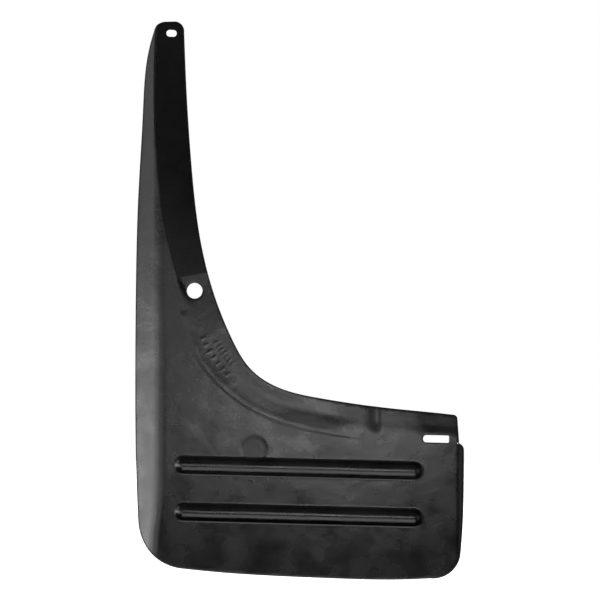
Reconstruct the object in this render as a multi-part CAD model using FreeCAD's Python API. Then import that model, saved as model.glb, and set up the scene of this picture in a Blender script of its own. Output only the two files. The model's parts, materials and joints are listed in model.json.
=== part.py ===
"""Mud flap for one side of a vehicle: a moulded rubber shell and the foam strip stuck on its flange.

Seen from the wheel. X runs inboard across the vehicle, Z is up as fitted, and Y runs away from the
wheel. The origin is the centre of the round fixing hole, on the front face of the flange.
"""

import FreeCAD, Part
import math
import os

# Driving dimensions, in millimetres and degrees
WALL = 3.0
LEFT, RIGHT = -46.6, 207.3
TOP, BOTTOM = 207.9, -222.1
FLANGE_RECESS = 1.4        # the flange's front face lies this far behind the panel's
FLANGE_REACH = 36.0        # across the flange from the fold, past its widest place
JOGGLE = 3.0               # the flange runs on this far behind the panel
UPPER_TILT, UPPER_TILT_RUN = 20.0, 120.0      # the flange leans back by this angle near the tip,
INBOARD_TILT, INBOARD_TILT_RUN = 4.0, 70.0    # and by this near the tab, reached over these distances
WING_ANGLE = 45.0
WING_BEND_RADIUS = 16.0
WING_REACH = 30.0
RIM_RADIUS, RIM_WIDTH, RIM_TURN = 8.0, 6.0, 70.0
HOLE_RADIUS = 6.0
TOP_SLOT_LENGTH, TOP_SLOT_WIDTH = 7.9, 5.4
TAB_SLOT_LENGTH, TAB_SLOT_WIDTH = 20.0, 5.6
TAB_SLOT_LEFT_RADIUS, TAB_SLOT_RIGHT_RADIUS = 2.4, 1.0
ROUND_END = 0.46           # a slot's end looks round when filleted by this share of its width
RIB_LENGTH, RIB_WIDTH, RIB_HEIGHT = 190.0, 13.0, 4.0
RIB_PITCH = 36.0
LEAN = -1.5                # the ribs and the inboard slot fall this much towards the inboard side
BEAD_WIDTH, BEAD_HEIGHT = 4.0, 0.4
BEAD_SETBACK = 0.4         # between the bead and the fold
FOAM_THICKNESS = 1.2
FOAM_INSET = 0.8           # flange left bare between the foam and the flap's edge
FOAM_GAP = 0.6             # and between the foam and the fold
DISC_RADIUS, DISC_DEPTH = 9.6, 0.3
PIP_RADIUS, PIP_HEIGHT = 0.9, 0.5
DENT_RADIUS, DENT_DEPTH = 9.0, 0.9
DASH_LENGTH, DASH_WIDTH, DASH_HEIGHT = 4.0, 1.6, 0.4
DASHES_IN_A_ROW = 7
ROOTED = 1.0               # raised details run this far into the wall
REACH = 60.0               # long enough to pass through the whole part

# How finely the fitted surfaces follow the fold line
FLANGE_SECTIONS = 7        # in each of its three stretches
BEAD_SECTIONS = 9
FOLD_POINTS = 41

# Places worked out from them, as (x, z) in the front view
PANEL_FRONT = -FLANGE_RECESS
WING_BEND_END = LEFT + 24.6
RIM_START = RIGHT - RIM_WIDTH
NOTCH_Z = -117.4           # the tab ends here and the wider panel begins
TAB_CORNER_Z = -95.5
TIP_SHOULDER = (-8.4, TOP - 8.0)
TAB_SHOULDER = (RIGHT - 7.9, TAB_CORNER_Z)
TOP_SLOT_CENTRE = (-18.0, TOP - 9.3)
TAB_SLOT_CENTRE = (RIGHT - 21.6, NOTCH_Z + 3.4)
UPPER_RIB_CENTRE = (80.0, -136.4)
RIB_BACK_RADIUS = (RIB_WIDTH ** 2 / 4 + RIB_HEIGHT ** 2) / (2 * RIB_HEIGHT)
DISC_CENTRE = (46.0, -122.0)
PIP_CENTRE = (43.3, -146.7)
DENT_X = 137.0
BEAD_START, BEAD_END = (-8.4, -14.0), (DENT_X, -112.6)
DASH_ROWS = (((-1.5, -40.0), (20.0, -70.0), 8.5),     # first and last place on the fold line,
             ((2.0, -48.0), (17.0, -67.0), 16.5))     # and how far across the flange the row stands
SEAT_TOP, SEAT_END = (-13.2, 5.0), (35.0, -83.5)      # the flange lies flat between these
FOAM_END, FOAM_END_SLOPE = (-14.0, 9.6), 10.0


def at(x, z, y=0.0):
    """A point of the front view, at depth y."""
    return FreeCAD.Vector(x, y, z)


def curve_through(points):
    curve = Part.BSplineCurve()
    curve.interpolate(points)
    return curve


def spline(*points):
    return curve_through([at(*p) for p in points]).toShape()


def arc(start, middle, end):
    return Part.Arc(at(*start), at(*middle), at(*end)).toShape()


def line(start, end):
    return Part.makeLine(at(*start), at(*end))


def face_inside(edges):
    return Part.Face(Part.Wire(Part.__sortEdges__(edges)))


def through_prism(face):
    """The solid that a face drawn in the front view sweeps from front to back."""
    return face.translated(at(0, 0, -REACH / 2)).extrude(at(0, 0, REACH))


def outline():
    """The flap's whole edge, clockwise from the top of the arched edge."""
    tab_corner, notch, rim_top = (RIGHT - 5, -98.6), (RIGHT - 3.8, NOTCH_Z), (RIGHT, NOTCH_Z - 5.4)
    right_low, bottom_right = (RIGHT - 2.7, -202.0), (RIGHT - 26.3, BOTTOM + 0.9)
    bottom_left, left_low = (LEFT + 35.2, BOTTOM + 8.6), (LEFT + 2.5, -176.7)
    left_top, tip_left, tip_right = (LEFT + 15.1, TOP - 8.6), (-23.5, TOP - 0.5), (-15.0, TOP)
    return [
        spline(TIP_SHOULDER, (-7.0, 162), (-2.2, 91), (6.3, 29.6), (16.5, -7.3), (29.2, -38), (43, -60),
               (64, -74.2), (95, -82.4), (145, -89.8), TAB_SHOULDER),
        arc(TAB_SHOULDER, (RIGHT - 5.9, TAB_CORNER_Z - 0.9), tab_corner),
        line(tab_corner, notch),
        arc(notch, (RIGHT - 1.1, NOTCH_Z - 1.9), rim_top),
        spline(rim_top, (RIGHT, -146), (RIGHT - 1, -180), right_low),
        arc(right_low, (RIGHT - 8.8, BOTTOM + 7), bottom_right),
        spline(bottom_right, (158, BOTTOM), (96.4, BOTTOM + 1.3), (34.8, BOTTOM + 4.3), bottom_left),
        arc(bottom_left, (LEFT + 11.8, BOTTOM + 21.5), left_low),
        spline(left_low, (LEFT + 0.6, -130.5), (LEFT, -69), (LEFT + 0.6, 8), (LEFT + 2.3, 69.7),
               (LEFT + 6.3, 139), (LEFT + 9.7, 179), left_top),
        arc(left_top, (LEFT + 18, TOP - 3), tip_left),
        line(tip_left, tip_right),
        arc(tip_right, (TIP_SHOULDER[0] - 1.8, TOP - 2.4), TIP_SHOULDER),
    ]


def fold_line():
    """Where the flange meets the wing and, lower down, the panel. It runs on past both ends."""
    return curve_through([at(*p) for p in (
        (-28.6, TOP + 6), (-31.3, 172), (-30.1, 108), (-21.2, 38.9), (-11.9, 1.7), (-2.4, -37),
        (20.6, -71.2), (60.1, -96.6), (98.4, -107), (138.5, -112.8), (RIGHT + 8, NOTCH_Z))])


def fold_frame(u):
    """A point of the fold line, and the directions along it and across the flange from it."""
    fold = fold_line()
    along = fold.tangent(u)[0]
    return fold.value(u), along, FreeCAD.Vector(-along.z, 0, along.x)


def evenly(first, last, count):
    return [first + (last - first) * k / (count - 1) for k in range(count)]


def ease(share):
    """0 to 1, starting and ending level."""
    share = min(1.0, max(0.0, share))
    return share * share * (3 - 2 * share)


def flange_slope(point):
    """How far the flange goes back for each millimetre across it, at a point of the fold line."""
    upper = UPPER_TILT * ease((point.z - SEAT_TOP[1]) / UPPER_TILT_RUN)
    inboard = INBOARD_TILT * ease((point.x - SEAT_END[0]) / INBOARD_TILT_RUN)
    return math.tan(math.radians(upper + inboard))


def fold_depth(x):
    """How far behind the panel's front face the wing's bend has gone at x."""
    past = max(0.0, WING_BEND_END - x)
    return WING_BEND_RADIUS - math.sqrt(WING_BEND_RADIUS ** 2 - past ** 2)


def flange_sections(first, last):
    """Frames across the flange between two places on the fold line."""
    return [fold_frame(u) for u in evenly(first, last, FLANGE_SECTIONS)]


def leaning_stretch(first, last, front, thickness):
    """A stretch of the flange's band that leans back and follows the wing's bend."""
    sections = []
    for root, along, across in flange_sections(first, last):
        slope = flange_slope(root)
        level = fold_depth(root.x) + front
        near = root - across * JOGGLE + at(0, 0, level - slope * JOGGLE)
        far = root + across * FLANGE_REACH + at(0, 0, level + slope * FLANGE_REACH)
        back = at(0, 0, thickness)
        sections.append(Part.makePolygon([near, far, far + back, near + back, near]))
    return Part.makeLoft(sections, True, False)


def flat_stretch(first, last, front, thickness):
    """The stretch of the flange's band that seats flat, around the round hole."""
    frames = flange_sections(first, last)
    near = [root - across * JOGGLE for root, along, across in frames]
    far = [root + across * FLANGE_REACH for root, along, across in frames]
    ends = [Part.makeLine(near[0], far[0]), Part.makeLine(near[-1], far[-1])]
    band = face_inside([curve_through(near).toShape(), curve_through(far).toShape()] + ends)
    return band.translated(at(0, 0, front)).extrude(at(0, 0, thickness))


def flange_band(front, thickness):
    """The flange's whole band along the fold line, front being its distance from the flange's face."""
    fold = fold_line()
    flat_from, flat_to = fold.parameter(at(*SEAT_TOP)), fold.parameter(at(*SEAT_END))
    return flat_stretch(flat_from, flat_to, front, thickness).fuse([
        leaning_stretch(fold.FirstParameter, flat_from, front, thickness),
        leaning_stretch(flat_to, fold.LastParameter, front, thickness),
    ])


def beyond_fold(distance):
    """Everything on the wing and panel's side of a line drawn that far into the flange from the fold."""
    fold = fold_line()
    frames = [fold_frame(u) for u in evenly(fold.FirstParameter, fold.LastParameter, FOLD_POINTS)]
    points = [root + across * distance for root, along, across in frames]
    corners = [points[-1], at(points[-1].x, BOTTOM - REACH), at(LEFT - REACH, BOTTOM - REACH),
               at(LEFT - REACH, points[0].z), points[0]]
    sides = [Part.makeLine(a, b) for a, b in zip(corners, corners[1:])]
    return through_prism(face_inside([curve_through(points).toShape()] + sides))


def panel_and_wing():
    """One bent band: the wing slanting back on the left, the flat panel and the rolled inboard rim."""
    bend_centre = at(WING_BEND_END, 0, PANEL_FRONT + WING_BEND_RADIUS)
    rim_centre = at(RIM_START, 0, PANEL_FRONT + RIM_RADIUS)
    slant = math.radians(WING_ANGLE)

    def on(centre, radius, degrees):
        turn = math.radians(degrees)
        return centre + at(radius * math.sin(turn), 0, -radius * math.cos(turn))

    def face_line(depth):
        """The section's edges on the face that lies that deep in the wall."""
        bend, rim = WING_BEND_RADIUS - depth, RIM_RADIUS - depth
        wing_root = on(bend_centre, bend, -WING_ANGLE)
        wing_edge = wing_root + at(-math.cos(slant), 0, math.sin(slant)) * WING_REACH
        panel_left, panel_right = on(bend_centre, bend, 0), on(rim_centre, rim, 0)
        rim_edge = on(rim_centre, rim, RIM_TURN)
        edges = [
            Part.makeLine(wing_edge, wing_root),
            Part.Arc(wing_root, on(bend_centre, bend, -WING_ANGLE / 2), panel_left).toShape(),
            Part.makeLine(panel_left, panel_right),
            Part.Arc(panel_right, on(rim_centre, rim, RIM_TURN / 2), rim_edge).toShape(),
        ]
        return edges, wing_edge, rim_edge

    front, front_wing, front_rim = face_line(0)
    back, back_wing, back_rim = face_line(WALL)
    ends = [Part.makeLine(front_wing, back_wing), Part.makeLine(front_rim, back_rim)]
    section = face_inside(front + back + ends)
    margin = 10.0
    return section.translated(at(0, BOTTOM - margin)).extrude(at(0, TOP - BOTTOM + 2 * margin))


def slot(centre, length, width, turn, left_radius, right_radius):
    """A slot through the whole part, its two ends rounded as given."""
    block = Part.makeBox(length, REACH, width, at(-length / 2, -width / 2, -REACH / 2))
    lengthwise = [e for e in block.Edges if abs(e.tangentAt(e.FirstParameter).y) > 0.9]
    left = [e for e in lengthwise if e.CenterOfMass.x < 0]
    right = [e for e in lengthwise if e.CenterOfMass.x > 0]
    for radius, side in ((left_radius, left), (right_radius, right)):
        corners = [e for e in block.Edges if any(e.CenterOfMass.isEqual(s.CenterOfMass, 0.01) for s in side)]
        block = block.makeFillet(radius, corners)
    block.rotate(at(0, 0), at(0, 0, 1), -turn)
    return block.translated(at(*centre))


def holes():
    """The round hole and the two slots, as the solids that they are cut with."""
    nearly_round = TOP_SLOT_WIDTH * ROUND_END
    return [
        Part.makeCylinder(HOLE_RADIUS, REACH, at(0, 0, -REACH / 2), at(0, 0, 1)),
        slot(TOP_SLOT_CENTRE, TOP_SLOT_LENGTH, TOP_SLOT_WIDTH, 0, nearly_round, nearly_round),
        slot(TAB_SLOT_CENTRE, TAB_SLOT_LENGTH, TAB_SLOT_WIDTH, LEAN,
             TAB_SLOT_LEFT_RADIUS, TAB_SLOT_RIGHT_RADIUS),
    ]


def round_backed_bar(radius, drop):
    """A bar with ball ends along a rib, drop being the distance below the upper one."""
    turn = math.radians(LEAN)
    half = at(math.cos(turn), math.sin(turn)) * ((RIB_LENGTH - RIB_WIDTH) / 2)
    x, z = UPPER_RIB_CENTRE
    middle = at(x, z - drop, PANEL_FRONT - RIB_HEIGHT + RIB_BACK_RADIUS)
    bar = Part.makeCylinder(radius, 2 * half.Length, middle - half, half)
    return bar.fuse([Part.makeSphere(radius, middle - half), Part.makeSphere(radius, middle + half)])


def ribs():
    """The two ribs' outsides, which stop inside the panel, and the hollows behind them."""
    side = 2 * RIGHT
    in_front = Part.makeBox(side, REACH, side, at(-RIGHT / 2, -side, PANEL_FRONT + ROOTED - REACH))
    drops = (0.0, RIB_PITCH)
    outsides = [round_backed_bar(RIB_BACK_RADIUS, drop).common(in_front) for drop in drops]
    hollows = [round_backed_bar(RIB_BACK_RADIUS - WALL, drop) for drop in drops]
    return outsides, hollows


def bead():
    """A low half-round line on the panel's side of the fold, from below the hole to the dent."""
    fold = fold_line()
    sections = []
    for u in evenly(fold.parameter(at(*BEAD_START)), fold.parameter(at(*BEAD_END)), BEAD_SECTIONS):
        root, along, across = fold_frame(u)
        far = root - across * BEAD_SETBACK + at(0, 0, PANEL_FRONT)
        near = far - across * BEAD_WIDTH
        crest = (near + far) / 2 - at(0, 0, BEAD_HEIGHT)
        rooted = at(0, 0, ROOTED)
        base = Part.makePolygon([far, far + rooted, near + rooted, near])
        sections.append(Part.Wire([Part.Arc(near, crest, far).toShape()] + base.Edges))
    return Part.makeLoft(sections, True, False)


def dashes():
    """Two rows of plain raised dashes across the lower flange."""
    fold = fold_line()
    made = []
    for first, last, out in DASH_ROWS:
        for u in evenly(fold.parameter(at(*first)), fold.parameter(at(*last)), DASHES_IN_A_ROW):
            root, along, across = fold_frame(u)
            dash = Part.makeBox(DASH_LENGTH, DASH_HEIGHT + ROOTED, DASH_WIDTH,
                                at(-DASH_LENGTH / 2, -DASH_WIDTH / 2, -DASH_HEIGHT))
            dash.rotate(at(0, 0), at(0, 0, 1), -math.degrees(math.atan2(across.z, across.x)))
            made.append(dash.translated(root + across * out))
    return made


def flap_moulding():
    blank = through_prism(face_inside(outline()))
    skin = panel_and_wing().common(beyond_fold(0)).common(blank)
    flange = flange_band(0, WALL).common(blank)
    disc = Part.makeCylinder(DISC_RADIUS, DISC_DEPTH, at(*DISC_CENTRE, PANEL_FRONT), at(0, 0, 1))
    dent = Part.makeCylinder(DENT_RADIUS, RIB_PITCH, at(DENT_X, NOTCH_Z, DENT_DEPTH - DENT_RADIUS), at(0, 1))
    pip_top = at(*PIP_CENTRE, PANEL_FRONT - PIP_HEIGHT)
    pip = Part.makeCylinder(PIP_RADIUS, PIP_HEIGHT + ROOTED, pip_top, at(0, 0, 1))
    outsides, hollows = ribs()
    shell = skin.cut(disc).fuse([flange.cut(dent), pip, bead()] + outsides + dashes())
    return shell.cut(hollows + holes()).removeSplitter()


def foam_strip():
    """The strip on the upper flange, square-cut just above the round hole, with the top slot through it."""
    inside_edge = through_prism(face_inside(outline()).makeOffset2D(-FOAM_INSET).toNurbs().Faces[0])
    above_end = Part.makeBox(2 * REACH, REACH, 2 * TOP, at(-REACH, 0, -REACH / 2))
    above_end.rotate(at(0, 0), at(0, 0, 1), -FOAM_END_SLOPE)
    above_end.translate(at(*FOAM_END))
    strip = flange_band(-FOAM_THICKNESS, FOAM_THICKNESS).common(inside_edge).common(above_end)
    return strip.cut([beyond_fold(FOAM_GAP)] + holes())


if __name__ == "__main__":
    os.makedirs("parts", exist_ok=True)
    flap_moulding().exportStep("parts/flap_moulding.step")
    foam_strip().exportStep("parts/foam_strip.step")
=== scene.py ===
"""The looks of a mud flap: a black moulded rubber shell with a foam strip on its upper flange.

Seen from the wheel: X runs inboard, Z is up, Y runs away from the wheel. The round hole's centre is
the origin. The flap's lengths are in millimetres and become metres when a mesh is made; the studio's
are in metres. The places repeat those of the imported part.
"""

import bpy
import json
import math
import numpy as np
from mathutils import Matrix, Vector
from mathutils.geometry import delaunay_2d_cdt
from mathutils.kdtree import KDTree


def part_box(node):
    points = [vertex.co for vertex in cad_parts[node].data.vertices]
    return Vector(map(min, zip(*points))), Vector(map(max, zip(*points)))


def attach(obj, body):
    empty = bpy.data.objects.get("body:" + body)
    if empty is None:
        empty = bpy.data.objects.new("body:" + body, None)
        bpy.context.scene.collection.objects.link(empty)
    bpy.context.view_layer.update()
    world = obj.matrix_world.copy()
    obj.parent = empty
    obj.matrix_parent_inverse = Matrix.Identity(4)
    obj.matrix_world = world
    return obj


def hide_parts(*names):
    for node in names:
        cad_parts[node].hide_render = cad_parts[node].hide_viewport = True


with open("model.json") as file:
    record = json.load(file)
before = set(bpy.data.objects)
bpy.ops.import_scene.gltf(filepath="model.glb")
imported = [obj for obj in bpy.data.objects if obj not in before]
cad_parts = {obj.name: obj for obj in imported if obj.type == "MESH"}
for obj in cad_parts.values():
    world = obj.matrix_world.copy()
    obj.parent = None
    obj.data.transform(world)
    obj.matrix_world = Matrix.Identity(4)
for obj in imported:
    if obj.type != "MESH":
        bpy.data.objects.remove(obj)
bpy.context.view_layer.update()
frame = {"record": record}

MM = 0.001
low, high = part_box("flap_moulding")
LEFT, RIGHT, BOTTOM, TOP = low.x / MM, high.x / MM, low.z / MM, high.z / MM
RIB_CREST = low.y / MM
BORE = next(m for m in frame["record"]["mounts"] if m["name"] == "fixing_hole")

# The shell's wall, edges and openings
WALL = 3.0
EDGE_ROUND = 1.0
HOLE_RADIUS = BORE["dims"]["r_mm"]
TOP_SLOT_LENGTH, TOP_SLOT_WIDTH = 7.9, 5.4
TOP_SLOT_END_RADIUS = 0.46 * TOP_SLOT_WIDTH
TAB_SLOT_LENGTH, TAB_SLOT_WIDTH = 20.0, 5.6
TAB_SLOT_LEFT_RADIUS, TAB_SLOT_RIGHT_RADIUS = 2.4, 1.0
NOTCH_Z = -117.4
TAB_CORNER_Z = -95.5
TIP_SHOULDER = (-8.4, TOP - 8.0)
TAB_SHOULDER = (RIGHT - 7.9, TAB_CORNER_Z)
TOP_SLOT_CENTRE = (-18.0, TOP - 9.3)
TAB_SLOT_CENTRE = (RIGHT - 21.6, NOTCH_Z + 3.4)
LEAN = math.radians(-1.5)  # the ribs and the tab's slot fall this much towards the inboard side

# The flange, which lies behind the panel and leans back from the fold, and its flat seat round the hole
FLANGE_RECESS = 1.4
SEAT_TOP_Z, SEAT_END_X = 5.0, 35.0
UPPER_TILT, UPPER_TILT_RUN = math.radians(20), 120.0
INBOARD_TILT, INBOARD_TILT_RUN = math.radians(4), 70.0
TAB_TILT, TAB_TILT_START, TAB_TILT_RUN = math.radians(4), 165.0, 20.0  # the tab leans back this much more

# The step down to the flange, which is short beside the foam and longer and shallower round the arch
FOLD_RUN, ARCH_FOLD_RUN = 3.0, 10.0  # the run beside the foam, and how much longer it gets
LONG_FOLD_TOP, LONG_FOLD_REACH = 9.0, 25.0
ARCH_SHALLOWER, ARCH_SHALLOWER_REACH = 1.0, 45.0
LEVEL_START, LEVEL_REACH = 110.0, 30.0  # inboard of this the flange rises level with the panel
ARCH_LIP, ARCH_LIP_START, ARCH_LIP_RUN = 0.7, 11.0, 14.0  # its free edge turns forward round the arch
ARCH_START, ARCH_END, ARCH_REACH = 5.0, 120.0, 40.0

# The panel, the wing and the rolled inboard rim
PANEL_FRONT = -FLANGE_RECESS
WING_ANGLE = math.radians(45)
WING_BEND_RADIUS = 16.0
WING_BEND_END = LEFT + 24.6
CORNER_SHIFT, CORNER_TOP, CORNER_REACH = 5.0, -150.0, 60.0  # the bend moves outwards in the low corner
RIM_RADIUS, RIM_WIDTH = 8.0, 6.0
RIM_START = RIGHT - RIM_WIDTH
SWELL_HEIGHT, RIPPLE_HEIGHT, WAVES_END = 0.3, 0.12, 20.0  # the waves end over this distance before the rim

# The ribs and small details
RIB_LENGTH, RIB_WIDTH, RIB_HEIGHT = 190.0, 13.0, PANEL_FRONT - RIB_CREST
RIB_BACK_RADIUS = (RIB_WIDTH ** 2 / 4 + RIB_HEIGHT ** 2) / (2 * RIB_HEIGHT)
RIB_PITCH = 36.0
UPPER_RIB_CENTRE = (80.0, -136.4)
RIB_FOOT, HOLLOW_FOOT = 2.8, 0.8  # fillet radii
BEAD_HEIGHT, BEAD_SETBACK, BEAD_RISE, BEAD_FALL = 0.4, 3.3, 1.4, 7.0
BEAD_START, BEAD_END = (-8.4, -14.0), (137.0, -112.6)
BEAD_START_RUN, BEAD_END_RUN = 6.0, 60.0  # it rises and fades over these distances along the fold
DISC_CENTRE, DISC_RADIUS, DISC_DEPTH, DISC_EDGE = (46.0, -122.0), 9.6, 0.3, 3.0
PIP_CENTRE, PIP_RADIUS, PIP_HEIGHT, PIP_EDGE = (43.3, -146.7), 0.9, 0.5, 0.6
DENT_START, DENT_FALL, DENT_RISE, DENT_END, DENT_DEPTH = 129.0, 12.5, 1.5, 143.0, 1.3
DASH_LENGTH, DASH_WIDTH, DASH_HEIGHT, DASH_EDGE = 4.0, 1.6, 0.13, 0.8
DASHES_IN_A_ROW = 7
DASH_ROWS = (((-1.5, -40.0), (20.0, -70.0), 8.5), ((2.0, -48.0), (17.0, -67.0), 16.5))  # from, to, across

# The foam strip
FOAM_THICKNESS, FOAM_ROUND = 1.2, 0.35
FOAM_INSET, FOAM_GAP = 0.8, 0.6
FOAM_END, FOAM_END_SLOPE = (-14.0, 9.6), math.radians(10)

# How finely the meshes follow the shape
SPAN_SAMPLES, CIRCLE_SAMPLES, CORNER_SAMPLES = 60, 49, 7
EDGE_STEP, FOLD_STEP = 1.2, 0.5
COARSE, FINE = 2.0, 0.7
FINE_BEFORE_FOLD, FINE_BESIDE_RIB, FINE_AT_DISC_EDGE, FINE_ROUND_PIP = 6.0, 3.0, 1.2, 2.0
ROLL_STEPS = 4
MERGE_WITHIN = 1e-5
TRIANGLES_INSIDE = 1  # the kind of result asked of the triangulation

# Where the rubber's tones change: painted shade darkens the lower panel, painted light lightens the wing,
# and the disc is duller
LOW_PANEL_START, LOW_PANEL_END = -150.0, -190.0
WING_PAINTED_LIGHT_END = LEFT + 8.0
DISC_TONE_EDGE = 1.5

# The picture, in metres
CAMERA_DISTANCE, CAMERA_SIDESTEP = 2.4, 0.0007
PICTURE_SHARE = 1.07335  # the picture is this many times as tall as the flap
SENSOR_WIDTH = 36.0
FLOOR_SIZE, FLOOR_GAP = 8.0, 0.0005


# --- curves in the front view, as arrays of (x, z) ---

def evenly_along(points, step):
    """Points about a step apart along a fine polyline, both ends included."""
    gone = np.concatenate([[0], np.cumsum(np.linalg.norm(np.diff(points, axis=0), axis=1))])
    stops = np.linspace(0, gone[-1], max(2, math.ceil(gone[-1] / step) + 1))
    return np.column_stack([np.interp(stops, gone, points[:, k]) for k in (0, 1)])


def spline(*points, step=EDGE_STEP):
    """The smooth cubic curve through some points."""
    p = np.array(points, float)
    t = np.concatenate([[0], np.cumsum(np.linalg.norm(np.diff(p, axis=0), axis=1))])
    h = np.diff(t)[:, None]
    chord = np.diff(p, axis=0) / h
    system, right = np.eye(len(p)), np.zeros_like(p)
    right[0] = [np.polyder(np.poly1d(np.polyfit(t[:4], p[:4, k], 3)))(t[0]) for k in (0, 1)]
    right[-1] = [np.polyder(np.poly1d(np.polyfit(t[-4:], p[-4:, k], 3)))(t[-1]) for k in (0, 1)]
    for i in range(1, len(p) - 1):
        before, after = h[i - 1, 0], h[i, 0]
        system[i, i - 1:i + 2] = after, 2 * (before + after), before
        right[i] = 3 * (after * chord[i - 1] + before * chord[i])
    slope = np.linalg.solve(system, right)
    s = np.linspace(0, 1, SPAN_SAMPLES)[:, None]
    spans = [
        (2 * s ** 3 - 3 * s ** 2 + 1) * p[i] + (s ** 3 - 2 * s ** 2 + s) * h[i] * slope[i]
        + (3 * s ** 2 - 2 * s ** 3) * p[i + 1] + (s ** 3 - s ** 2) * h[i] * slope[i + 1]
        for i in range(len(p) - 1)
    ]
    return evenly_along(np.vstack(spans), step)


def arc(start, middle, end):
    """The circular arc through three points."""
    a, b, c = (complex(*p) for p in (start, middle, end))
    w = (c - a) / (b - a)
    centre = (b - a) * (w - abs(w) ** 2) / (2j * w.imag) + a
    first, turn = a - centre, np.angle((c - centre) / (a - centre))
    half = np.angle((b - centre) / (a - centre))
    if turn * half < 0:
        turn -= math.copysign(2 * math.pi, turn)
    round_it = centre + first * np.exp(1j * np.linspace(0, turn, SPAN_SAMPLES))
    return evenly_along(np.column_stack([round_it.real, round_it.imag]), EDGE_STEP)


def line(start, end):
    """The straight line between two points."""
    return evenly_along(np.array([start, end], float), EDGE_STEP)


def closed(pieces, anticlockwise):
    """One loop out of curves that follow each other, without the points where they meet twice."""
    loop = np.vstack([piece[:-1] for piece in pieces])
    x, z = loop.T
    area = (x * np.roll(z, -1) - np.roll(x, -1) * z).sum() / 2
    return loop if (area > 0) == anticlockwise else loop[::-1]


def outline():
    """The flap's whole edge."""
    tab_corner, notch, rim_top = (RIGHT - 5, -98.6), (RIGHT - 3.8, NOTCH_Z), (RIGHT, NOTCH_Z - 5.4)
    right_low, bottom_right = (RIGHT - 2.7, -202.0), (RIGHT - 26.3, BOTTOM + 0.9)
    bottom_left, left_low = (LEFT + 35.2, BOTTOM + 8.6), (LEFT + 2.5, -176.7)
    left_top, tip_left, tip_right = (LEFT + 15.1, TOP - 8.6), (-23.5, TOP - 0.5), (-15.0, TOP)
    return closed([
        spline(TIP_SHOULDER, (-7.0, 162), (-2.2, 91), (6.3, 29.6), (16.5, -7.3), (29.2, -38), (43, -60),
               (64, -74.2), (95, -82.4), (145, -89.8), TAB_SHOULDER),
        arc(TAB_SHOULDER, (RIGHT - 5.9, TAB_CORNER_Z - 0.9), tab_corner),
        line(tab_corner, notch),
        arc(notch, (RIGHT - 1.1, NOTCH_Z - 1.9), rim_top),
        spline(rim_top, (RIGHT, -146), (RIGHT - 1, -180), right_low),
        arc(right_low, (RIGHT - 8.8, BOTTOM + 7), bottom_right),
        spline(bottom_right, (158, BOTTOM), (96.4, BOTTOM + 1.3), (34.8, BOTTOM + 4.3), bottom_left),
        arc(bottom_left, (LEFT + 11.8, BOTTOM + 21.5), left_low),
        spline(left_low, (LEFT + 0.6, -130.5), (LEFT, -69), (LEFT + 0.6, 8), (LEFT + 2.3, 69.7),
               (LEFT + 6.3, 139), (LEFT + 9.7, 179), left_top),
        arc(left_top, (LEFT + 18, TOP - 3), tip_left),
        line(tip_left, tip_right),
        arc(tip_right, (TIP_SHOULDER[0] - 1.8, TOP - 2.4), TIP_SHOULDER),
    ], True)


def slot(centre, length, width, turn, left_radius, right_radius):
    """A slot's edge, its two ends rounded as given."""
    corners = []
    for side, up, radius in ((1, 1, right_radius), (-1, 1, left_radius), (-1, -1, left_radius),
                             (1, -1, right_radius)):
        middle = complex(side * (length / 2 - radius), up * (width / 2 - radius))
        first = math.atan2(up, side) - math.pi / 4
        corners.append(middle + radius * np.exp(1j * (first + np.linspace(0, math.pi / 2, CORNER_SAMPLES))))
    edge = np.concatenate(corners) * np.exp(1j * turn) + complex(*centre)
    around = np.column_stack([edge.real, edge.imag])
    return closed([evenly_along(np.vstack([around, around[:1]]), EDGE_STEP / 2)], False)


def holes():
    """The round hole's edge and the two slots'."""
    turn = np.linspace(0, 2 * math.pi, CIRCLE_SAMPLES)
    circle = HOLE_RADIUS * np.column_stack([np.cos(turn), np.sin(turn)])
    return [
        closed([circle], False),
        slot(TOP_SLOT_CENTRE, TOP_SLOT_LENGTH, TOP_SLOT_WIDTH, 0, TOP_SLOT_END_RADIUS,
             TOP_SLOT_END_RADIUS),
        slot(TAB_SLOT_CENTRE, TAB_SLOT_LENGTH, TAB_SLOT_WIDTH, LEAN, TAB_SLOT_LEFT_RADIUS,
             TAB_SLOT_RIGHT_RADIUS),
    ]


def left_of(points):
    """Unit directions to the left of a closed loop's points, which is into the material."""
    along = np.roll(points, -1, axis=0) - np.roll(points, 1, axis=0)
    along /= np.linalg.norm(along, axis=1)[:, None]
    return np.column_stack([-along[:, 1], along[:, 0]])


def nearest(points, places):
    """The index of the place nearest to each point."""
    tree = KDTree(len(places))
    for k, (x, z) in enumerate(places.tolist()):
        tree.insert((x, z, 0), k)
    tree.balance()
    return np.array([tree.find((x, z, 0))[1] for x, z in points.tolist()], int)


# The fold between the panel and the flange, from above the tip to past the tab, and at each of its
# points the direction along it and the direction across it, onto the flange
FOLD = spline((-28.6, TOP + 6), (-31.3, 172), (-30.1, 108), (-21.2, 38.9), (-11.9, 1.7), (-2.4, -37),
              (20.6, -71.2), (60.1, -96.6), (98.4, -107), (138.5, -112.8), (RIGHT + 8, NOTCH_Z),
              step=FOLD_STEP)
FOLD_ALONG = np.gradient(FOLD, axis=0) / np.linalg.norm(np.gradient(FOLD, axis=0), axis=1)[:, None]
FOLD_ACROSS = np.column_stack([-FOLD_ALONG[:, 1], FOLD_ALONG[:, 0]])


def from_fold(points):
    """For each point, the nearest fold point's index, the distance along and the distance across."""
    k = nearest(points, FOLD)
    offset = points - FOLD[k]
    along = k * FOLD_STEP + (offset * FOLD_ALONG[k]).sum(axis=1)
    return k, along, (offset * FOLD_ACROSS[k]).sum(axis=1)


# --- the shell's surfaces: how far away from the wheel they lie at each point ---

def ease(share):
    """0 to 1, starting and ending level."""
    share = np.clip(share, 0, 1)
    return share * share * (3 - 2 * share)


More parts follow.
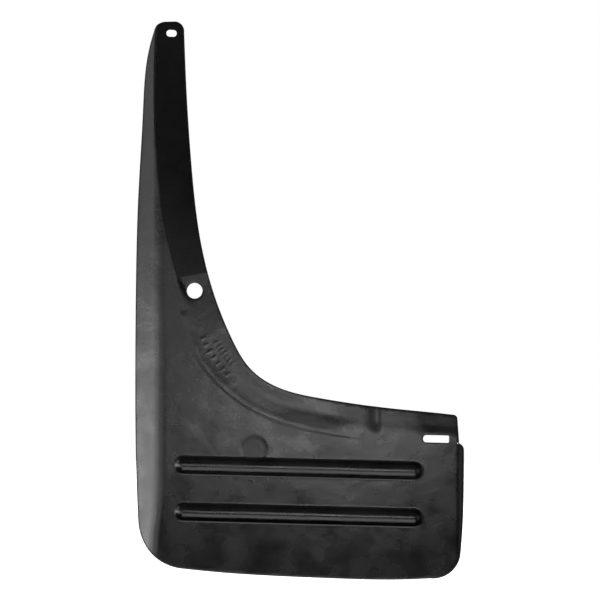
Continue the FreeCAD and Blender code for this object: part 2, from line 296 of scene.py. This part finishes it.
def bump(away, radius, height, foot):
    """The height of a round-backed bump that ends in a fillet, at a distance from its middle."""
    reach = math.sqrt((radius + foot) ** 2 - (radius - height + foot) ** 2)
    turn = reach * radius / (radius + foot)
    crown = np.sqrt(radius ** 2 - np.minimum(away, turn) ** 2) - (radius - height)
    skirt = foot - np.sqrt(foot ** 2 - np.clip(reach - away, 0, reach - turn) ** 2)
    return np.where(away < turn, crown, skirt)


def wing_drop(x):
    """How far the wing has gone back from the panel at x."""
    past = np.maximum(0, WING_BEND_END - x)
    on_bend = np.minimum(past, WING_BEND_RADIUS * math.sin(WING_ANGLE))
    bend = WING_BEND_RADIUS - np.sqrt(WING_BEND_RADIUS ** 2 - on_bend ** 2)
    return bend + (past - on_bend) * math.tan(WING_ANGLE)


def waves(x, z):
    """The slight unevenness of a large rubber moulding: the divisors set how long its waves are."""
    swell = SWELL_HEIGHT * np.sin(x / 31 + 0.4) * np.sin(z / 37 + x / 90)
    ripple = RIPPLE_HEIGHT * np.sin(x / 17 - z / 23 + 1.1)
    return swell + ripple


def skin_level(x, z):
    """The wing, the panel and the rolled inboard rim."""
    rim = np.clip(x - RIM_START, 0, RIM_WIDTH)
    rolled = RIM_RADIUS - np.sqrt(RIM_RADIUS ** 2 - rim ** 2)
    shift = CORNER_SHIFT * ease((CORNER_TOP - z) / CORNER_REACH)
    uneven = waves(x, z) * ease((RIM_START - x) / WAVES_END)
    return PANEL_FRONT + wing_drop(x + shift) + rolled + uneven


def flange_level(points):
    """The flange, which leans back from the fold towards both of its ends, and its distance across."""
    k, _, across = from_fold(points)
    x, z = FOLD[k].T
    lean = UPPER_TILT * ease((z - SEAT_TOP_Z) / UPPER_TILT_RUN)
    lean = lean + INBOARD_TILT * ease((x - SEAT_END_X) / INBOARD_TILT_RUN)
    lean = lean + TAB_TILT * ease((x - TAB_TILT_START) / TAB_TILT_RUN)
    round_arch = ease((x - ARCH_START) / ARCH_REACH) * ease((ARCH_END - x) / ARCH_REACH)
    lip = ARCH_LIP * round_arch * ease((across - ARCH_LIP_START) / ARCH_LIP_RUN)
    raised = ARCH_SHALLOWER * ease((SEAT_TOP_Z - z) / ARCH_SHALLOWER_REACH)
    raised = raised + (FLANGE_RECESS - ARCH_SHALLOWER) * ease((x - LEVEL_START) / LEVEL_REACH)
    return wing_drop(x) + np.tan(lean) * across - lip - raised, across


def shell_level(points):
    """The whole shell's face without its details, and how much of each place is flange."""
    x, z = points.T
    flange, across = flange_level(points)
    run = FOLD_RUN + ARCH_FOLD_RUN * ease((LONG_FOLD_TOP - z) / LONG_FOLD_REACH)
    onto_flange = ease(across / run)
    return skin_level(x, z) * (1 - onto_flange) + flange * onto_flange, onto_flange


def along_fold(place):
    """How far along the fold a place is."""
    return nearest(np.array([place]), FOLD)[0] * FOLD_STEP


def from_rib(points, drop):
    """Each point's distance from a rib's centre line, drop being how far it is below the upper one."""
    way = np.array([math.cos(LEAN), math.sin(LEAN)])
    offset = points - np.array([UPPER_RIB_CENTRE[0], UPPER_RIB_CENTRE[1] - drop])
    half = (RIB_LENGTH - RIB_WIDTH) / 2
    beyond = np.maximum(0, np.abs(offset @ way) - half)
    return np.hypot(beyond, offset @ np.array([-way[1], way[0]]))


def rib_height(points, radius, foot):
    """Both ribs, or both hollows behind them, which share their centre lines."""
    height = radius - RIB_BACK_RADIUS + RIB_HEIGHT
    return sum(bump(from_rib(points, drop), radius, height, foot) for drop in (0, RIB_PITCH))


def bead_height(points):
    """The low line along the fold, steep towards the panel, which fades out past the arch."""
    _, along, across = from_fold(points)
    from_foot = across + BEAD_SETBACK
    ridge = ease(from_foot / BEAD_RISE) * ease((BEAD_RISE + BEAD_FALL - from_foot) / BEAD_FALL)
    risen = ease((along - along_fold(BEAD_START)) / BEAD_START_RUN)
    left = ease((along_fold(BEAD_END) - along) / BEAD_END_RUN)
    return BEAD_HEIGHT * ridge * risen * left


def dash_height(points):
    """Two rows of plain raised dashes across the lower flange."""
    _, along, across = from_fold(points)
    height = np.zeros(len(points))
    for first, last, out in DASH_ROWS:
        for place in np.linspace(along_fold(first), along_fold(last), DASHES_IN_A_ROW):
            within_width = ease(((DASH_WIDTH + DASH_EDGE) / 2 - np.abs(along - place)) / DASH_EDGE)
            within_length = ease(((DASH_LENGTH + DASH_EDGE) / 2 - np.abs(across - out)) / DASH_EDGE)
            height += DASH_HEIGHT * within_width * within_length
    return height


def distance_from(points, centre):
    return np.linalg.norm(points - np.array(centre), axis=1)


def round_mark(points, centre, radius, height, edge):
    """A flat round mark whose edge slopes over a given width, half of it outside the radius."""
    return height * ease((radius - distance_from(points, centre)) / edge + 0.5)


def shell_front(points):
    """The face towards the wheel, with its dent, marks, bead, dashes and ribs."""
    level, onto_flange = shell_level(points)
    into_dent = ease((points[:, 0] - DENT_START) / DENT_FALL)
    dent = DENT_DEPTH * into_dent * ease((DENT_END - points[:, 0]) / DENT_RISE)
    level = level + dent * onto_flange
    level = level + round_mark(points, DISC_CENTRE, DISC_RADIUS, DISC_DEPTH, DISC_EDGE)
    level = level - round_mark(points, PIP_CENTRE, PIP_RADIUS, PIP_HEIGHT, PIP_EDGE)
    level = level - bead_height(points) - dash_height(points)
    return level - rib_height(points, RIB_BACK_RADIUS, RIB_FOOT)


def shell_back(points):
    """The far face: the plain shell moved back by the wall, with the hollows behind the ribs."""
    level, _ = shell_level(points)
    step = 0.5
    rise_x = (shell_level(points + (step, 0))[0] - level) / step
    rise_z = (shell_level(points + (0, step))[0] - level) / step
    slant = np.sqrt(1 + rise_x ** 2 + rise_z ** 2)
    hollow = rib_height(points, RIB_BACK_RADIUS - WALL, HOLLOW_FOOT)
    return level + WALL * slant - hollow


def foam_front(points):
    """The foam's face towards the wheel, which follows the flange."""
    return flange_level(points)[0] - FOAM_THICKNESS


def foam_back(points):
    """The foam's stuck face, on the flange."""
    return flange_level(points)[0]


# --- meshes ---

def depth_inside(points, rims):
    """How far into the material each point lies from the nearest rim point."""
    edge = np.vstack(rims)
    inward = np.vstack([left_of(rim) for rim in rims])
    k = nearest(points, edge)
    return ((points - edge[k]) * inward[k]).sum(axis=1)


def staggered_grid(lowest, highest, spacing):
    """Points over a box, in rows that are half a spacing off each other."""
    rows = []
    for i, z in enumerate(np.arange(lowest[1], highest[1], spacing * math.sqrt(3) / 2)):
        x = np.arange(lowest[0] + (i % 2) * spacing / 2, highest[0], spacing)
        rows.append(np.column_stack([x, np.full(len(x), z)]))
    return np.vstack(rows)


def inside_points(rims, spacing_at):
    """Staggered points inside the rims, COARSE apart, or FINE apart where there is detail."""
    edge = np.vstack(rims)
    kept = []
    for spacing in (COARSE, FINE):
        grid = staggered_grid(edge.min(axis=0), edge.max(axis=0), spacing)
        grid = grid[spacing_at(grid) == spacing]
        kept.append(grid[depth_inside(grid, rims) > spacing / 2])
    return np.vstack(kept)


def triangulated(rims, inner):
    """Triangles between the rims and over the inner points, as (points, triangles, rims' indices)."""
    points = np.vstack(rims + [inner])
    starts = np.cumsum([0] + [len(rim) for rim in rims])
    edges = [(start + i, start + (i + 1) % len(rim)) for start, rim in zip(starts, rims)
             for i in range(len(rim))]
    made, _, faces, origin, _, _ = delaunay_2d_cdt(
        [Vector(p) for p in points], edges, [], TRIANGLES_INSIDE, MERGE_WITHIN)
    made = np.array([(v.x, v.y) for v in made])
    faces = np.array(faces)
    faces = faces[depth_inside(made[faces].mean(axis=1), rims) > 0]
    first, second, third = (made[faces[:, i]] for i in range(3))
    ahead, beside = second - first, third - first
    backward = ahead[:, 0] * beside[:, 1] < ahead[:, 1] * beside[:, 0]
    faces[backward] = faces[backward][:, ::-1]
    index = np.zeros(len(points), int)
    for new, olds in enumerate(origin):
        index[olds] = new
    return made, faces, [index[start:start + len(rim)] for start, rim in zip(starts, rims)]


def strip_between(lower, upper):
    """Quads between two rings of indices that run the same way round."""
    return np.column_stack([lower, np.roll(lower, -1), np.roll(upper, -1), upper])


def plate(name, loops, front, back, edge_round, spacing_at):
    """A piece between two faces, inside closed loops, with its edges rolled over."""
    inward = [left_of(loop) for loop in loops]
    rims = [loop + side * edge_round for loop, side in zip(loops, inward)]
    flat, triangles, ring_index = triangulated(rims, inside_points(rims, spacing_at))
    count = len(flat)
    vertices = [np.column_stack([flat[:, 0], front(flat), flat[:, 1]]),
                np.column_stack([flat[:, 0], back(flat), flat[:, 1]])]
    polygons = triangles.tolist() + (triangles[:, ::-1] + count).tolist()
    made = 2 * count
    for loop, side, ring in zip(loops, inward, ring_index):
        nearer, further = ring, ring + count
        for turn in np.linspace(0, math.pi / 2, ROLL_STEPS + 1)[1:]:
            at = loop + side * edge_round * (1 - math.sin(turn))
            over = edge_round * (1 - math.cos(turn))
            vertices += [np.column_stack([at[:, 0], front(at) + over, at[:, 1]]),
                         np.column_stack([at[:, 0], back(at) - over, at[:, 1]])]
            new_near, new_far = made + np.arange(len(at)), made + len(at) + np.arange(len(at))
            polygons += strip_between(new_near, nearer).tolist()
            polygons += strip_between(further, new_far).tolist()
            nearer, further = new_near, new_far
            made += 2 * len(at)
        polygons += strip_between(further, nearer).tolist()
    mesh = bpy.data.meshes.new(name)
    mesh.from_pydata((np.vstack(vertices) * MM).tolist(), [], polygons)
    mesh.shade_smooth()
    piece = bpy.data.objects.new(name, mesh)
    bpy.context.scene.collection.objects.link(piece)
    return piece


def near_detail(points):
    """FINE along the ribs, the fold and its bead, and at the small marks; COARSE elsewhere."""
    _, _, across = from_fold(points)
    close = (across > -FINE_BEFORE_FOLD) & (across < FOLD_RUN)
    for drop in (0, RIB_PITCH):
        close |= from_rib(points, drop) < RIB_WIDTH / 2 + FINE_BESIDE_RIB
    close |= dash_height(points) > 0
    close |= np.abs(distance_from(points, DISC_CENTRE) - DISC_RADIUS) < FINE_AT_DISC_EDGE
    close |= distance_from(points, PIP_CENTRE) < FINE_ROUND_PIP
    return np.where(close, FINE, COARSE)


def all_coarse(points):
    return np.full(len(points), COARSE)


def foam_loop():
    """The foam's edge: inside the flap's own edge, beside the fold and square-cut above the hole."""
    edge = outline()
    inset = edge + left_of(edge) * FOAM_INSET
    up = np.array([-math.sin(FOAM_END_SLOPE), math.cos(FOAM_END_SLOPE)])
    beside = FOLD + FOLD_ACROSS * FOAM_GAP
    keep = ((inset - FOAM_END) @ up > 0) & (from_fold(inset)[2] > FOAM_GAP)
    start = int(np.flatnonzero(keep & ~np.roll(keep, 1))[0])
    outer = np.roll(inset, -start, axis=0)[:keep.sum()]
    above = beside[((beside - FOAM_END) @ up > 0) & (beside[:, 1] < outer[-1, 1])]
    return closed([
        outer,
        line(outer[-1], above[0]),
        evenly_along(above, EDGE_STEP),
        line(above[-1], outer[0]),
    ], True)


def flap_look():
    """The moulded shell, in place of the CAD one."""
    loops = [outline()] + holes()
    piece = plate("flap_moulding_look", loops, shell_front, shell_back, EDGE_ROUND, near_detail)
    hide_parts("flap_moulding")
    return piece


def foam_look():
    """The foam strip, in place of the CAD one."""
    _, top_slot, _ = holes()
    loops = [foam_loop(), top_slot]
    piece = plate("foam_strip_look", loops, foam_front, foam_back, FOAM_ROUND, all_coarse)
    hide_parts("foam_strip")
    return piece


# --- materials ---

class Nodes:
    """A material's node tree, with short calls to add and join nodes."""

    def __init__(self, name):
        self.material = bpy.data.materials.new(name)
        self.material.use_nodes = True
        self.tree = self.material.node_tree
        self.shader = self.tree.nodes["Principled BSDF"]
        self.place = self.add("ShaderNodeTexCoord").outputs["Object"]

    def add(self, kind, **settings):
        node = self.tree.nodes.new(kind)
        for key, value in settings.items():
            setattr(node, key, value)
        return node

    def join(self, output, target):
        self.tree.links.new(output, target)

    def noise(self, per_metre, detail, roughness, stretch=(1, 1, 1)):
        """Noise with about that many blotches in a metre."""
        mapping = self.add("ShaderNodeMapping")
        mapping.inputs["Scale"].default_value = stretch
        self.join(self.place, mapping.inputs["Vector"])
        node = self.add("ShaderNodeTexNoise")
        node.inputs["Scale"].default_value = per_metre
        node.inputs["Detail"].default_value = detail
        node.inputs["Roughness"].default_value = roughness
        self.join(mapping.outputs["Vector"], node.inputs["Vector"])
        return node.outputs["Fac"]

    def between(self, value, start, end, low=0.0, high=1.0):
        """The value from start to end, brought smoothly to low to high."""
        node = self.add("ShaderNodeMapRange", interpolation_type="SMOOTHSTEP")
        for key, number in (("From Min", start), ("From Max", end), ("To Min", low), ("To Max", high)):
            node.inputs[key].default_value = number
        self.join(value, node.inputs["Value"])
        return node.outputs["Result"]

    def maths(self, operation, first, second):
        """One sum, of outputs or plain numbers."""
        node = self.add("ShaderNodeMath", operation=operation)
        for k, term in enumerate((first, second)):
            if isinstance(term, (int, float)):
                node.inputs[k].default_value = term
            else:
                self.join(term, node.inputs[k])
        return node.outputs["Value"]

    def mix(self, share, first, second):
        """A grey between two greys."""
        node = self.add("ShaderNodeMix", data_type="RGBA")
        self.join(share, node.inputs["Factor"])
        node.inputs["A"].default_value = (*first, 1)
        node.inputs["B"].default_value = (*second, 1)
        return node.outputs["Result"]

    def bump(self, heights):
        """Bumps on bumps: (height, strength, distance in metres) for each."""
        normal = None
        for height, strength, distance in heights:
            node = self.add("ShaderNodeBump")
            node.inputs["Strength"].default_value = strength
            node.inputs["Distance"].default_value = distance
            self.join(height, node.inputs["Height"])
            if normal:
                self.join(normal, node.inputs["Normal"])
            normal = node.outputs["Normal"]
        self.join(normal, self.shader.inputs["Normal"])


def rubber():
    """Black moulded rubber with a film of dust, soft smudges and a fine grain; painted shade darkens its
    lower panel and painted light lightens its wing.
    """
    n = Nodes("moulded_rubber")
    apart = n.add("ShaderNodeSeparateXYZ")
    n.join(n.place, apart.inputs["Vector"])
    x, z = apart.outputs["X"], apart.outputs["Z"]
    smudges = n.noise(per_metre=45, detail=3.0, roughness=0.55)
    specks = n.noise(per_metre=300, detail=4.0, roughness=0.6)
    wipes = n.noise(per_metre=22, detail=2.0, roughness=0.4, stretch=(0.5, 1, 1.6))
    # The base colour's mix: random dust and smudges, then the painted shade and painted light below
    dust_and_painted_shading = n.maths("ADD", n.maths("MULTIPLY", smudges, 0.6), n.maths("MULTIPLY", specks, 0.25))
    dust_and_painted_shading = n.maths("ADD", dust_and_painted_shading, n.maths("MULTIPLY", wipes, 0.35))
    # Painted shade: the base colour darkens towards the bottom of the panel
    low_panel = n.between(z, LOW_PANEL_START * MM, LOW_PANEL_END * MM)
    dust_and_painted_shading = n.maths("SUBTRACT", dust_and_painted_shading, n.maths("MULTIPLY", low_panel, 0.2))
    # Painted light: the base colour lightens across the wing, the side that faces the lamps
    wing = n.between(x, WING_BEND_END * MM, WING_PAINTED_LIGHT_END * MM)
    dust_and_painted_shading = n.maths("ADD", dust_and_painted_shading, n.maths("MULTIPLY", wing, 0.15))
    colour = n.mix(n.between(dust_and_painted_shading, 0.35, 0.85), (0.006, 0.006, 0.0059), (0.022, 0.0215, 0.021))
    n.join(colour, n.shader.inputs["Base Color"])
    from_disc = n.add("ShaderNodeVectorMath", operation="DISTANCE")
    n.join(n.place, from_disc.inputs[0])
    from_disc.inputs[1].default_value = (DISC_CENTRE[0] * MM, PANEL_FRONT * MM, DISC_CENTRE[1] * MM)
    fully_inside = DISC_RADIUS - DISC_TONE_EDGE
    duller = n.between(from_disc.outputs["Value"], DISC_RADIUS * MM, fully_inside * MM, low=0.0, high=0.06)
    rough = n.maths("ADD", n.between(smudges, 0.3, 0.7, low=0.25, high=0.33), duller)
    rough = n.maths("SUBTRACT", rough, n.maths("MULTIPLY", low_panel, 0.03))
    n.join(rough, n.shader.inputs["Roughness"])
    grain = n.noise(per_metre=1400, detail=3.0, roughness=0.6)
    dimples = n.noise(per_metre=160, detail=2.0, roughness=0.5)
    swells = n.noise(per_metre=38, detail=1.0, roughness=0.4)
    n.bump([(swells, 0.5, 0.0012), (dimples, 0.25, 0.0005), (grain, 0.3, 0.00012)])
    return n.material


def foam():
    """Black closed-cell foam, near black and without shine."""
    n = Nodes("black_foam")
    blotches = n.noise(per_metre=60, detail=3.0, roughness=0.5)
    colour = n.mix(n.between(blotches, 0.3, 0.7), (0.002, 0.002, 0.002), (0.008, 0.008, 0.0078))
    n.join(colour, n.shader.inputs["Base Color"])
    n.join(n.between(blotches, 0.3, 0.7, low=0.5, high=0.6), n.shader.inputs["Roughness"])
    n.shader.inputs["Specular IOR Level"].default_value = 0.35
    cells = n.add("ShaderNodeTexVoronoi")
    cells.inputs["Scale"].default_value = 1100
    n.join(n.place, cells.inputs["Vector"])
    n.bump([(cells.outputs["Distance"], 0.5, 0.0003)])
    return n.material


# --- the studio ---

def camera():
    """Square on to the flap, which fills the frame's height but for a margin."""
    middle_x, middle_z = (LEFT + RIGHT) / 2 * MM, (BOTTOM + TOP) / 2 * MM
    data = bpy.data.cameras.new("camera")
    data.sensor_width = SENSOR_WIDTH
    data.lens = SENSOR_WIDTH * CAMERA_DISTANCE / ((TOP - BOTTOM) * MM * PICTURE_SHARE)
    eye = bpy.data.objects.new("camera", data)
    eye.location = (middle_x + CAMERA_SIDESTEP, -CAMERA_DISTANCE, middle_z)
    eye.rotation_euler = (math.pi / 2, 0, 0)
    bpy.context.scene.collection.objects.link(eye)
    bpy.context.scene.camera = eye


def softbox(name, place, aim, width, height, brightness):
    """A soft light as bright as that many times white paper, unseen by the camera."""
    data = bpy.data.lights.new(name, "AREA")
    data.shape = "RECTANGLE"
    data.size, data.size_y = width, height
    data.energy = brightness * math.pi * width * height
    lamp = bpy.data.objects.new(name, data)
    lamp.location = place
    lamp.rotation_euler = (Vector(aim) - Vector(place)).to_track_quat("-Z", "Y").to_euler()
    lamp.visible_camera = False
    bpy.context.scene.collection.objects.link(lamp)


def lights():
    """Bright low in front and low on the wing's side, dim inboard and nearly dark above.

    Each line gives a softbox's place, what it points at, its width and height, and its brightness.
    """
    panel = (0.08, 0, -0.12)
    softbox("low_front", (0.08, -0.83, -0.79), panel, 0.8, 0.7, 2.3)
    softbox("in_front", (0.06, -0.9, -0.03), (0.06, 0, -0.03), 0.7, 0.2, 1.35)
    softbox("highlight", (0.11, -0.5, -0.11), (0.11, 0, -0.11), 0.22, 0.07, 6.0)
    softbox("left_front", (-0.8, -0.8, -0.25), panel, 1.1, 0.6, 1.5)
    softbox("wing_turn", (-0.85, -0.5, -0.2), (-0.03, 0, -0.12), 0.42, 0.3, 2.6)
    softbox("wing_low", (-0.9, -0.05, -0.18), (-0.04, 0.01, -0.11), 0.5, 0.24, 6.2)
    softbox("wing_high", (-0.9, -0.05, 0.3), (-0.04, 0.01, 0.1), 0.5, 0.7, 1.2)
    softbox("overhead", (0.1, -0.9, 0.9), panel, 1.4, 1.0, 0.08)
    softbox("inboard", (1.0, -0.6, -0.1), panel, 0.8, 0.8, 0.45)
    softbox("behind", (0.3, 1.5, 0.5), (0.08, 0, 0), 1.4, 1.4, 2.0)


def white_world():
    """White to the camera only, so that the lights alone shape the rubber."""
    world = bpy.data.worlds.new("white")
    bpy.context.scene.world = world
    world.use_nodes = True
    world.node_tree.nodes["Background"].inputs["Color"].default_value = (1, 1, 1, 1)
    for ray in ("diffuse", "glossy", "transmission", "scatter"):
        setattr(world.cycles_visibility, ray, False)


def floor():
    """A plain white floor just under the flap."""
    bpy.ops.mesh.primitive_plane_add(size=FLOOR_SIZE, location=(0, 0, BOTTOM * MM - FLOOR_GAP))
    ground = bpy.context.object
    ground.name = "floor"
    n = Nodes("floor_white")
    n.shader.inputs["Base Color"].default_value = (0.8, 0.8, 0.8, 1)
    n.shader.inputs["Emission Color"].default_value = (1, 1, 1, 1)
    n.shader.inputs["Emission Strength"].default_value = 1.0
    ground.data.materials.append(n.material)
    ground.visible_diffuse = False
    ground.visible_glossy = False


camera()
lights()
white_world()
floor()
for look, material in ((flap_look(), rubber()), (foam_look(), foam())):
    look.data.materials.append(material)
    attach(look, "root")
bpy.context.scene.view_settings.view_transform = "Standard"
